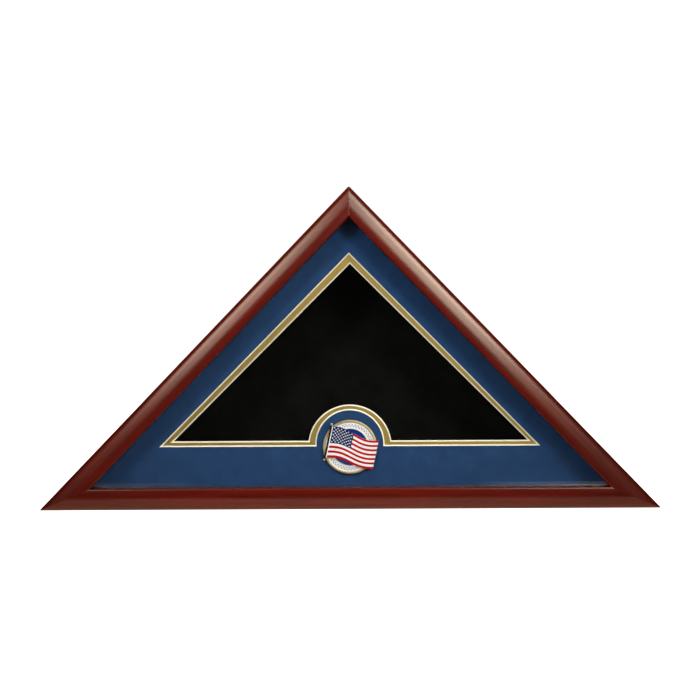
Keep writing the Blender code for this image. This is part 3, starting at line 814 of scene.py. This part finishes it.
def flag_point(along, down, lift=0.0):
    """A point of the waving flag, from (0, 0) at the top of its hoist to (1, 1) at the foot of its fly."""
    top = HOIST_TOP.lerp(FLY_TOP, along)
    foot = HOIST_FOOT.lerp(FLY_FOOT, along)
    flat = top.lerp(foot, down)
    sag = FLAG_SAG[0] + (FLAG_SAG[1] - FLAG_SAG[0]) * down
    rise = sag * sin(pi * along) + FLAG_WAVE * sin(2 * pi * along)
    depth = -FLAG_RELIEF * sin(2 * pi * along + down)
    return Vector((flat.x, depth - lift, flat.y + rise))


def flag_grid():
    """The places of the flag's columns along it, and of its rows down it, as shares."""
    columns = [0.0, HEADING]
    columns += [HEADING + (CANTON_END - HEADING) * i / 16 for i in range(1, 17)]
    columns += [CANTON_END + (1 - CANTON_END) * i / 20 for i in range(1, 21)]
    count = STRIPES * ROWS_PER_STRIPE
    return columns, [i / count for i in range(count + 1)]


def flag_front(along, down):
    """A point of the flag's front, which is rounded off towards the outline."""
    inset = min(along, 1 - along, down * 0.75, (1 - down) * 0.75)
    drop = ENAMEL_EDGE * max(0.0, 1 - inset / ENAMEL_ROUND) ** 2
    return flag_point(along, down, FLAG / 2 - drop)


def flag_finish(along, row):
    """Which of the flag's finishes shows on its front at this place."""
    stripe = row // ROWS_PER_STRIPE
    if along < HEADING:
        return FLAG_WHITE
    if along < CANTON_END and stripe < CANTON_STRIPES:
        return FLAG_NAVY
    return FLAG_WHITE if stripe % 2 else FLAG_RED


def grid_outline(width, height):
    """The outer points of a grid, in order round it."""
    outline = [(i, 0) for i in range(width)]
    outline += [(width - 1, j) for j in range(1, height)]
    outline += [(i, height - 1) for i in range(width - 2, -1, -1)]
    return outline + [(0, j) for j in range(height - 2, 0, -1)]


def flag_mesh():
    """The flag: its enamelled front, and its back and edge of metal."""
    columns, rows = flag_grid()
    work = bmesh.new()
    front, back = {}, {}
    for i, along in enumerate(columns):
        for j, down in enumerate(rows):
            front[i, j] = work.verts.new(flag_front(along, down))
            back[i, j] = work.verts.new(flag_point(along, down, -FLAG / 2))
    for i in range(len(columns) - 1):
        for j in range(len(rows) - 1):
            face = work.faces.new([front[i, j], front[i + 1, j], front[i + 1, j + 1], front[i, j + 1]])
            face.material_index = flag_finish((columns[i] + columns[i + 1]) / 2, j)
            rear = work.faces.new([back[i, j], back[i, j + 1], back[i + 1, j + 1], back[i + 1, j]])
            rear.material_index = FLAG_METAL
    for here, there in looped(grid_outline(len(columns), len(rows))):
        wall = work.faces.new([front[here], back[here], back[there], front[there]])
        wall.material_index = FLAG_METAL
    return write_mesh(work, "flag", 50)


def build_flag(red, white, navy, gold, bronze):
    """The enamelled flag with its stars and its staff."""
    flag_y = middle("medallion_flag").y
    place = Matrix.Translation((COIN_CENTRE.x, flag_y, COIN_CENTRE.z))
    show_node("medallion_flag", flag_mesh(), [red, white, navy, gold], place)
    build_stars(white, place)
    build_staff(bronze, gold, flag_y)


def build_stars(white, place):
    """Fifty raised stars, in rows of six and five."""
    work = bmesh.new()
    for row in range(STAR_ROWS):
        for column in range(row % 2, 11, 2):
            along = HEADING + (CANTON_END - HEADING) * (column + 1) / 12
            down = CANTON_STRIPES / STRIPES * (row + 1) / (STAR_ROWS + 1)
            centre = flag_point(along, down, FLAG / 2)
            outline = []
            for i in range(10):
                turn = pi / 2 + pi * i / 5
                radius = STAR_RADIUS * (STAR_WAIST if i % 2 else 1)
                outline.append(centre + Vector((cos(turn) * radius, 0, sin(turn) * radius)))
            raise_form(work, outline, centre, STAR_LEVELS)
    mesh = write_mesh(work, "stars", None)
    add_piece("medallion_flag_stars", mesh, [white], "case", (), place)


def build_staff(bronze, gold, flag_y):
    """The flag's staff: a dark shaft with a gilt ball and ferrule."""
    hoist = HOIST_TOP - HOIST_FOOT
    up = hoist.normalized()
    beside = Vector((-up.y, up.x)) * POLE_OFFSET
    foot = HOIST_FOOT + beside - up * POLE_OVERHANG[1]
    length = hoist.length + sum(POLE_OVERHANG)
    shaft_top = length - 2.1 * FINIAL
    ferrule_top = FINIAL * 1.4
    ball = [(FINIAL * sin(a), length - FINIAL + FINIAL * cos(a))
            for a in sweep(pi, 18)[:15]]
    ball[0] = (0, length)
    profile = [
        *ball,
        (POLE_RADIUS * 1.15, shaft_top + 0.0002),
        (POLE_RADIUS, shaft_top - 0.0003),
        (POLE_RADIUS, ferrule_top),
        (FINIAL * 0.8, FINIAL * 1.1),
        (FINIAL * 0.9, FINIAL * 0.5),
        (FINIAL * 0.7, 0.0),
        (0, 0),
    ]
    mesh = revolve("staff", profile, 32)
    for polygon in mesh.polygons:
        height = polygon.center.z
        polygon.material_index = 0 if ferrule_top <= height <= shaft_top else 1
    lean = atan2(up.x, up.y)
    place = Matrix.Translation((COIN_CENTRE.x + foot.x, flag_y, COIN_CENTRE.z + foot.y))
    leaning = place @ Matrix.Rotation(lean, 4, "Y")
    show_node("medallion_flag_staff", mesh, [bronze, gold], leaning)


# ---- the back

JOINTS = {joint["name"]: joint for joint in frame["joints"]}
BUTTON_WAYS = {"bottom_1": -1, "bottom_2": 1, "right_1": -1, "right_2": -1, "left_1": 1, "left_2": 1}
BUTTON_EYE_RADIUS = 0.0050
BUTTON_TIP_RADIUS = 0.0030
BUTTON_REACH = 0.0150
SCREW_HEAD = 0.0016
SCREW_HEAD_RADIUS = 0.0028
SCREW_CROWN = 0.0007
SCREW_HOLE_RADIUS = 0.0018
SHANK_RADIUS = 0.0015
SHANK_STUB = 0.004
STRAP_WIDTH = 0.0075
STRAP_LENGTH = 0.019
STRAP = 0.0009
RING_WIRE_RADIUS = 0.0009
RING_PLAY = 0.0003
RING_HALF_WIDTH = 0.0053
RING_LEG = 0.004
RING_CORNER = 0.0014
RING_REST_ANGLE = radians(6)
BUMPER_CROWN = 0.0012


def along_side(name, way):
    """The turn about Y from the X axis to this way along a side."""
    run = SIDES[name].run * way
    return atan2(-run.z, run.x)


def build_turn_buttons(brass):
    """Each button is a drop-shaped plate that turns about the screw in its eye."""
    lean = acos((BUTTON_EYE_RADIUS - BUTTON_TIP_RADIUS) / BUTTON_REACH)
    tip = arc((BUTTON_REACH, 0), BUTTON_TIP_RADIUS, -lean, lean, 20)
    eye = arc((0, 0), BUTTON_EYE_RADIUS, lean, 2 * pi - lean, 40)
    hole = circle((0, 0), SCREW_HOLE_RADIUS, 32)
    for key, way in BUTTON_WAYS.items():
        node = f"turn_button_{key}"
        low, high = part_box(node)
        mesh = curve_mesh(node, [[*tip, *eye], hole], high.y - low.y, 0.00025)
        hub = Vector(JOINTS[f"turn_{key}"]["pos_m"])
        place = Matrix.Translation((hub.x, middle(node).y, hub.z))
        turn = Matrix.Rotation(along_side(key.split("_")[0], way), 4, "Y")
        show_node(node, mesh, [brass], place @ turn @ TO_FRONT, node)


def recess_cutter(turn):
    """One bar of a screw head's cross recess, wider at the top than at the foot."""
    mesh = bpy.data.meshes.new("recess")
    work = bmesh.new()
    bmesh.ops.create_cone(work, cap_ends=True, segments=4, radius1=0.0009, radius2=0.0024, depth=0.0018)
    bmesh.ops.rotate(work, verts=work.verts, matrix=Matrix.Rotation(pi / 4, 3, "Z"))
    bmesh.ops.scale(work, verts=work.verts, vec=(1, 0.24, 1))
    work.to_mesh(mesh)
    work.free()
    cutter = link("recess", mesh)
    cutter.matrix_world = Matrix.Translation((0, 0, SCREW_HEAD)) @ Matrix.Rotation(turn, 4, "Z")
    return cutter


def screw_mesh():
    """A pan-head screw seen from outside: its head with a cross recess, and a stub of its shank."""
    radius = SCREW_HEAD_RADIUS
    crown = [(radius * sin(a), SCREW_HEAD - SCREW_CROWN + SCREW_CROWN * cos(a) ** 0.8)
             for a in sweep(pi / 2, 12)[:-1]]
    profile = [
        *crown,
        (radius, SCREW_HEAD - 0.0008),
        (radius, 0.0002),
        (radius - 0.0002, 0),
        (SHANK_RADIUS, 0),
        (SHANK_RADIUS, -SHANK_STUB),
        (0, -SHANK_STUB),
    ]
    head = link("screw_head", revolve("screw", profile, 64))
    cutters = [recess_cutter(turn) for turn in (0, pi / 2)]
    for cutter in cutters:
        boolean = head.modifiers.new("Recess", "BOOLEAN")
        boolean.operation = "DIFFERENCE"
        boolean.object = cutter
    mesh = evaluated_mesh(head)
    for used in [head, *cutters]:
        bpy.data.objects.remove(used)
    mesh.name = "pan_head_screw"
    smooth(mesh, 30)
    return mesh


def build_screws(steel):
    """The screws, their recesses at different turns."""
    mesh = screw_mesh()
    names = [f"button_screw_{key}" for key in BUTTON_WAYS] + ["ring_screw_left", "ring_screw_right"]
    for number, name in enumerate(names):
        centre = middle(name)
        seat = Vector((centre.x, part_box(name)[1].y - SCREW_HEAD, centre.z))
        turn = Matrix.Rotation(radians(37 * number), 4, "Z")
        show_node(name, mesh, [steel], Matrix.Translation(seat) @ TO_BACK @ turn)


def strap_outlines():
    """The strap's section, a doubled leaf with a loop round the wire, and the loop's eye."""
    hole = RING_WIRE_RADIUS + RING_PLAY
    outer = hole + STRAP
    leaf_top = 2 * STRAP
    loop = arc((0, outer), outer, -pi / 2, -pi * 7 / 4, 40)
    outline = [*loop, (0.0042, leaf_top), (STRAP_LENGTH, leaf_top), (STRAP_LENGTH, 0)]
    return [outline, circle((0, outer), hole, 32)]


def ring_mesh(name):
    """The D-shaped wire ring, its straight bar on its own X axis."""
    inner = RING_HALF_WIDTH - RING_CORNER
    wire = bpy.data.curves.new(name, "CURVE")
    wire.dimensions = "3D"
    wire.bevel_depth = RING_WIRE_RADIUS
    wire.bevel_resolution = 5
    add_loop(wire, [
        *arc((inner, -RING_CORNER), RING_CORNER, pi / 2, 0, 8),
        *arc((0, -RING_LEG), RING_HALF_WIDTH, 0, -pi, 40),
        *arc((-inner, -RING_CORNER), RING_CORNER, pi, pi / 2, 8),
    ])
    return mesh_from(name, wire)


def build_ring_hangers(nickel):
    """The hangers: each a strap that lies down its rail, and a ring."""
    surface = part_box("ring_strap_left")[0].y
    rearward = Vector((0, 1, 0))
    for name, way in (("left", 1), ("right", -1)):
        pivot = Vector(JOINTS[f"ring_swing_{name}"]["pos_m"])
        downhill = SIDES[name].run * way
        across = downhill.cross(rearward)
        lying = Matrix((downhill, rearward, across)).transposed().to_4x4()
        lying.translation = (pivot.x, surface, pivot.z)
        strap = curve_mesh(f"strap_{name}", strap_outlines(), STRAP_WIDTH, 0.00015)
        show_node(f"ring_strap_{name}", strap, [nickel], lying)
        hanging = Matrix((across, -downhill, rearward)).transposed().to_4x4()
        hanging.translation = pivot
        lifted = hanging @ Matrix.Rotation(-RING_REST_ANGLE, 4, "X")
        node = f"hanging_ring_{name}"
        show_node(node, ring_mesh(f"ring_{name}"), [nickel], lifted, node)


def build_bumpers(black):
    """The domed rubber bumpers at the foot of the back."""
    for name in ("wall_bumper_left", "wall_bumper_right"):
        low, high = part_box(name)
        radius, height = (high.x - low.x) / 2, high.y - low.y
        crown = [(radius * 0.78 * sin(a), height - BUMPER_CROWN * (1 - cos(a)))
                 for a in sweep(pi / 2, 10)]
        profile = [
            *crown,
            (radius * 0.82, height * 0.55),
            (radius * 0.94, 0.0009),
            (radius, 0.0004),
            (radius, 0),
            (0, 0),
        ]
        centre = middle(name)
        seat = Matrix.Translation((centre.x, low.y, centre.z))
        show_node(name, revolve(name, profile, 64), [black], seat @ TO_BACK)


def build_lining(nap):
    """The felt glued to the back panel."""
    low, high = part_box("felt_lining")
    outline = blunted(triangle(REAR_EDGE + EDGE_PLAY), TIP_CUT)
    mesh = curve_mesh("felt", [outline], high.y - low.y, 0.0002)
    place = Matrix.Translation((0, middle("felt_lining").y, 0)) @ TO_FRONT
    lining = show_node("felt_lining", mesh, [nap], place, "back")


# ---- studio

# Powers are in watts, and angles in degrees off the way the case faces.
STUDIO_DISTANCE = 1.7
KEY_POWER = 51
KEY_ANGLE = 34
KEY_SPREAD = radians(30)
KEY_RADIUS = 0.20
KEY_TARGET = (0, 0, 0.18)
WARM = (1.0, 0.94, 0.72)
BOX_TARGET = (0, 0, 0.16)
BOX_HEIGHT = 0.46
STRIP_ANGLE = 50
STRIP_WIDTH = 0.60
# For each side's soft box: how far down its rail it aims, its angle, its width and its power.
SIDE_BOXES = {"left": (0.10, 43, 1.44, 14), "right": (0.02, 41, 1.56, 27)}
WORLD_FILL = 0.10
WORLD_GLOSS = 0.012
SEEN_WHITE = 1.3
WHITE = (1.0, 1.0, 1.0)
FLOOR_Z = -0.0002
FLOOR_REACH = 9
FLOOR_GLOW = 0.05
MARK_Z = -0.0001
RUNNER_GLOW = 0.40
RUNNER_TINT = (1.0, 0.92, 0.45)
RUNNER_HALF_WIDTH = 0.34
CARD_RANGE = (FRONT_Y - 0.225, FRONT_Y - 0.19)
CARD_FADE = 0.10
# For the card at either side: where its outer and inner ends are, and its glow.
CARDS = {"left": (-0.34, -0.15, 0.28), "right": (0.34, 0.12, 0.50)}


def soft_box(name, target, towards, along, size, power):
    """A rectangular light facing the target. Its first size lies square to the along direction."""
    light = bpy.data.lights.new(name, "AREA")
    light.shape = "RECTANGLE"
    light.size, light.size_y = size
    light.energy = power
    light.color = WARM
    lamp = hang_light(name, light, target, towards)
    back = Vector(towards).normalized()
    height = (Vector(along) - back * back.dot(Vector(along))).normalized()
    lamp.rotation_euler = Matrix((height.cross(back), height, back)).transposed().to_euler()
    return lamp


def off_axis(direction, angle):
    """A direction turned from the way the case faces, by this many degrees towards the given one."""
    turn = radians(angle)
    return Vector((0, -1, 0)) * cos(turn) + direction * sin(turn)


def hang_light(name, light, target, towards):
    """Links a light that shines at the target from the given direction. Rays that leave through the glass
    don't meet it, because the glass casts no shadow and its light gets in already."""
    lamp = link(name, light)
    back = Vector(towards).normalized()
    lamp.location = Vector(target) + back * STUDIO_DISTANCE
    lamp.rotation_euler = back.to_track_quat("Z", "Y").to_euler()
    lamp.visible_transmission = False
    return lamp


def build_key(name, towards):
    """A soft spot that lights the surfaces and makes no highlight."""
    light = bpy.data.lights.new(name, "SPOT")
    light.energy = KEY_POWER
    light.spot_size = KEY_SPREAD
    light.spot_blend = 1.0
    light.shadow_soft_size = KEY_RADIUS
    lamp = hang_light(name, light, KEY_TARGET, towards)
    lamp.visible_glossy = False


def build_lights():
    """A key and a soft box at either side, a light overhead and a fill behind."""
    for name, (shift, box_angle, box_width, box_power) in SIDE_BOXES.items():
        side = SIDES[name]
        outward = -side.inward
        downhill = side.run if side.run.z < 0 else -side.run
        target = Vector(BOX_TARGET) + shift * downhill
        build_key(f"key_{name}", off_axis(outward, KEY_ANGLE))
        wide = ("wide", box_angle, box_width, box_power)
        strip = ("strip", STRIP_ANGLE, STRIP_WIDTH, box_power / 4)
        for part, angle, width, power in (wide, strip):
            towards = off_axis(outward, angle)
            lamp = soft_box(f"soft_box_{name}_{part}", target, towards, side.run, (width, BOX_HEIGHT), power)
            lamp.visible_diffuse = False
    soft_box("overhead", BOX_TARGET, (0, -0.7, 1), (1, 0, 0), (0.30, 1.5), 5)
    soft_box("back_fill", BOX_TARGET, (0, 1, 0.5), (1, 0, 0), (2.0, 2.6), 20)


def stage_plane(name, low, high, z, paint):
    """A flat rectangle of the studio, from its low corner to its high one."""
    mesh = bpy.data.meshes.new(name)
    corners = [(low[0], low[1], z), (high[0], low[1], z), (high[0], high[1], z), (low[0], high[1], z)]
    mesh.from_pydata(corners, [], [(0, 1, 2, 3)])
    mesh.materials.append(paint)
    plane = link(name, mesh)
    return plane


def white_paint(name, glow, tint=WHITE):
    """Matt white paint with a tinted glow, which to the camera is full and white."""
    paint = Finish(name, base_color=(0.8, 0.8, 0.8), roughness=0.9, specular_ior_level=0.0)
    seen = paint.add("LightPath", {}).outputs["Is Camera Ray"]
    strength = paint.math("MULTIPLY_ADD", seen, SEEN_WHITE - glow)
    strength.node.inputs[2].default_value = glow
    paint.set(emission_color=paint.mix(seen, tint, WHITE), emission_strength=strength)
    return paint.material


def fading_paint(name, glow, inner):
    """A card's black paint. Its glow fades at the card's inner end, and is full to the camera."""
    paint = Finish(name, base_color=(0.0, 0.0, 0.0), roughness=0.9, specular_ior_level=0.0)
    x = paint.add("SeparateXYZ", {"Vector": paint.place()}).outputs["X"]
    seen = paint.add("LightPath", {}).outputs["Is Camera Ray"]
    fade = paint.band(paint.math("ABSOLUTE", x), abs(inner), abs(inner) + CARD_FADE, 0.0, glow)
    shown = paint.math("MULTIPLY", seen, SEEN_WHITE)
    paint.set(emission_color=WHITE, emission_strength=paint.math("MAXIMUM", fade, shown))
    return paint.material


def build_studio():
    """The floor, which the case's gloss doesn't mirror, and a runner and two cards, which it does."""
    floor_paint = white_paint("floor_paint", FLOOR_GLOW)
    corner = (FLOOR_REACH, FLOOR_REACH)
    floor = stage_plane("studio_floor", (-FLOOR_REACH, -FLOOR_REACH), corner, FLOOR_Z, floor_paint)
    floor.visible_glossy = False
    floor.visible_transmission = False
    low, high = (-RUNNER_HALF_WIDTH, FRONT_Y - 0.03), (RUNNER_HALF_WIDTH, FRONT_Y + 0.01)
    stage_plane("runner", low, high, MARK_Z, white_paint("runner_paint", RUNNER_GLOW, RUNNER_TINT))
    for name, (outer, inner, glow) in CARDS.items():
        paint = fading_paint(f"card_{name}_paint", glow, inner)
        left, right = sorted((outer, inner))
        stage_plane(f"card_{name}", (left, CARD_RANGE[0]), (right, CARD_RANGE[1]), MARK_Z, paint)
    build_lights()
    build_world()


def build_world():
    """White where the camera sees it, a soft grey for diffuse light, and dark for whatever else sees it."""
    world = bpy.data.worlds.new("studio")
    bpy.context.scene.world = world
    world.use_nodes = True
    nodes, links = world.node_tree.nodes, world.node_tree.links
    path = nodes.new("ShaderNodeLightPath")
    socket = nodes["Background"].inputs["Color"]
    for ray, level in (("Is Camera Ray", SEEN_WHITE), ("Is Diffuse Ray", WORLD_FILL)):
        mix = nodes.new("ShaderNodeMix")
        mix.data_type = "RGBA"
        links.new(path.outputs[ray], mix.inputs["Factor"])
        links.new(mix.outputs[2], socket)
        mix.inputs[7].default_value = (level, level, level, 1)
        socket = mix.inputs[6]
    socket.default_value = (WORLD_GLOSS, WORLD_GLOSS, WORLD_GLOSS, 1)


def build_camera():
    """The camera, shifted rather than tilted, so that uprights stay upright."""
    data = bpy.data.cameras.new("camera")
    data.sensor_width = SENSOR * 1000
    data.lens = SENSOR * 1000 * EYE_DISTANCE / VIEW_WIDTH
    data.shift_x = VIEW_CENTRE[0] / VIEW_WIDTH
    data.shift_y = (VIEW_CENTRE[1] - EYE_HEIGHT) / VIEW_WIDTH
    data.clip_start = 0.01
    camera = link("camera", data)
    place = Matrix.Translation((0, FRONT_Y + SHOULDER_DEPTH - EYE_DISTANCE, EYE_HEIGHT))
    camera.matrix_world = place @ TO_FRONT @ Matrix.Rotation(-ROLL, 4, "Z")
    bpy.context.scene.camera = camera
    bpy.context.scene.view_settings.view_transform = "Standard"


def build_front():
    """The mouldings and the two mats."""
    wood = mahogany()
    for name, side in SIDES.items():
        build_moulding(f"{name}_moulding", side, wood)
    cream = paper("mat_core", (0.90, 0.86, 0.74), (0.84, 0.79, 0.66))
    blue = paper("blue_mat_face", (0.0138, 0.0480, 0.1400), (0.0108, 0.0385, 0.1150))
    build_mat("blue_mat", BLUE_WINDOW, blue, cream)
    build_mat("gold_mat", GOLD_WINDOW, gold_foil(), cream)


def build_medallion():
    """The coin with its enamels and wreath, its pad, and the flag on its staff."""
    champagne = metal("champagne_gold", (0.90, 0.75, 0.50), (0.72, 0.57, 0.34), 0.34)
    white = enamel("white_enamel", (0.88, 0.90, 0.97), (0.82, 0.84, 0.92))
    royal = enamel("royal_blue_enamel", (0.001, 0.034, 0.270), (0.001, 0.026, 0.210))
    red = enamel("red_enamel", (0.50, 0.0025, 0.007), (0.43, 0.002, 0.005))
    navy = enamel("navy_enamel", (0.002, 0.016, 0.105), (0.0015, 0.012, 0.080))
    bronze = metal("dark_bronze", (0.06, 0.045, 0.03), (0.03, 0.022, 0.015), 0.3)
    build_coin(champagne)
    build_enamels(white, royal)
    build_pad(rubber("foam_tape", (0.55, 0.54, 0.50)))
    build_wreath(metal("wreath_pewter", (0.17, 0.19, 0.27), (0.12, 0.13, 0.20), 0.4))
    build_flag(red, white, navy, champagne, bronze)


def build_back():
    """What is on the rear of the case, and the felt on the back panel."""
    build_turn_buttons(metal("brass_plate", (0.78, 0.56, 0.22), (0.60, 0.40, 0.14), 0.28))
    build_screws(metal("zinc_steel", (0.62, 0.63, 0.66), (0.50, 0.51, 0.54), 0.3))
    build_ring_hangers(metal("nickel_plate", (0.66, 0.65, 0.62), (0.56, 0.55, 0.52), 0.2))
    build_bumpers(rubber())
    build_lining(felt())


def finish_plain_nodes():
    """Finishes for the CAD nodes that are shown as they are, by parts of their names."""
    hardboard = ((0.165, 0.090, 0.045), (0.130, 0.068, 0.033), (240, 240, 240), 0.5)
    finishes = {
        "front_glass": glass(),
        "back_panel": plain_wood("hardboard", *hardboard),
        "mat_stop": plain_wood("pine", (0.62, 0.42, 0.22), (0.50, 0.31, 0.14)),
        "spacer": rubber("black_plastic", (0.016, 0.016, 0.017)),
        "v_nail": metal("v_nail_steel", (0.50, 0.51, 0.53), (0.40, 0.41, 0.43), 0.4),
    }
    for name, node in frame["nodes"].items():
        for part in (part for part in finishes if part in name):
            node.data.materials.clear()
            node.data.materials.append(finishes[part])
    frame["nodes"]["front_glass"].visible_shadow = False


def main():
    build_camera()
    build_front()
    build_medallion()
    build_back()
    finish_plain_nodes()
    build_studio()


main()
